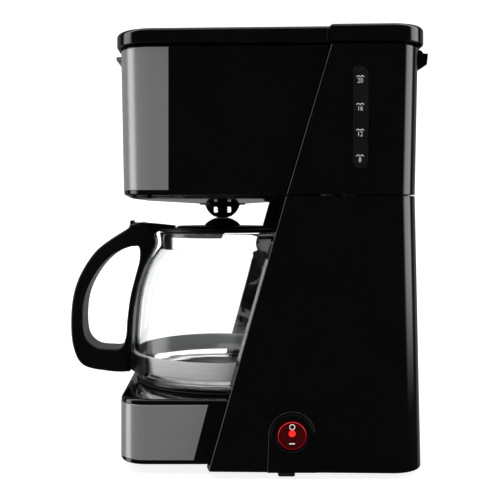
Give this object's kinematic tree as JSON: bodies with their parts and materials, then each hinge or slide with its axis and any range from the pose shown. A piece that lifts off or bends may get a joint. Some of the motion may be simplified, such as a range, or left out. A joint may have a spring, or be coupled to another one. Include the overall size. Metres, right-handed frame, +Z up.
{
  "type": "drip coffee maker",
  "caption": "Free-standing drip coffee maker with a hinged lid, rear water tank, brew head, warming plate, glass carafe and rocker switch.",
  "frame": {"origin": "middle of the overall box at the surface it stands on", "axes": "+Z up, -Y towards the front and the carafe's handle, +X towards the side with the switch and the level window"},
  "size_m": [0.1739, 0.2563, 0.3013],
  "materials": {
    "gloss_black": "high gloss moulding",
    "satin_black": "fine satin moulding",
    "handle_black": "smooth satin",
    "brushed_trim": "fine brushed",
    "bright_steel": "bright",
    "aluminium": "drawn",
    "clear_glass": "clear",
    "smoked_clear": "dark translucent",
    "tank_plastic": "natural translucent",
    "white_plastic": "satin",
    "silicone": "matt",
    "silicone_black": "matt",
    "plate_coating": "non-stick gloss",
    "red_plastic": "translucent red",
    "wire_brown": "smooth",
    "wire_blue": "smooth"
  },
  "bodies": {
    "machine": {"lower_housing": "gloss_black", "upper_housing": "gloss_black", "level_window": "smoked_clear", "lid_hinge_pin_left": "bright_steel", "lid_hinge_pin_right": "bright_steel", "bay_liner": "satin_black", "base_housing": "gloss_black", "bottom_cover": "satin_black", "base_screw_front_left": "bright_steel", "base_screw_front_right": "bright_steel", "base_screw_rear_left": "bright_steel", "base_screw_rear_right": "bright_steel", "foot_front_left": "silicone_black", "foot_front_right": "silicone_black", "foot_side_left": "silicone_black", "foot_side_right": "silicone_black", "foot_rear_left": "silicone_black", "foot_rear_right": "silicone_black", "base_trim": "brushed_trim", "brew_head_trim": "brushed_trim", "brew_head_housing": "gloss_black", "filter_basket": "satin_black", "water_spreader": "satin_black", "drip_stop_cage": "satin_black", "drip_stop_spring": "bright_steel", "water_tank": "tank_plastic", "check_valve_body": "white_plastic", "heater_tube": "aluminium", "heating_element": "bright_steel", "riser_tube": "silicone", "inlet_hose": "silicone", "warming_plate": "plate_coating", "plate_seal": "silicone_black", "heater_clamp": "bright_steel", "clamp_screw": "bright_steel", "thermostat": "aluminium", "thermal_fuse": "white_plastic", "switch_bezel": "gloss_black", "switch_body": "satin_black", "terminal_block": "white_plastic", "wire_live": "wire_brown", "wire_switched": "wire_brown", "wire_neutral": "wire_blue", "cord_gland": "silicone_black"},
    "lid": {"top_lid": "gloss_black", "lid_liner": "satin_black"},
    "carafe": {"carafe_glass": "clear_glass", "carafe_band": "bright_steel", "carafe_handle": "handle_black", "handle_screw": "bright_steel", "carafe_lid": "satin_black", "carafe_lid_pin": "bright_steel"},
    "rocker": {"switch_rocker": "red_plastic"},
    "drip_valve": {"drip_stop_plunger": "satin_black", "drip_stop_seal": "silicone"},
    "valve_ball": {"check_valve_ball": "bright_steel"}
  },
  "joints": [
    {"name": "lid_hinge", "type": "hinge", "parent": "machine", "child": "lid", "pos_m": [0, 0.1239, 0.2828], "axis": [-1, 0, 0], "range_deg": [0, 100]},
    {"name": "carafe_slide", "type": "slide", "parent": "machine", "child": "carafe", "axis": [0, -1, 0], "range_m": [0, 0.17]},
    {"name": "switch_press", "type": "hinge", "parent": "machine", "child": "rocker", "pos_m": [0.0843, 0.0313, 0.0291], "axis": [0, -1, 0], "range_deg": [0, 14]},
    {"name": "drip_stop_press", "type": "slide", "parent": "machine", "child": "drip_valve", "axis": [0, 0, 1], "range_m": [0, 0.003], "stiffness_N_per_m": 150, "springref_m": -0.002, "deforming": ["drip_stop_spring"]},
    {"name": "check_valve_lift", "type": "slide", "parent": "machine", "child": "valve_ball", "axis": [0, 0, 1], "range_m": [0, 0.0042]}
  ]
}
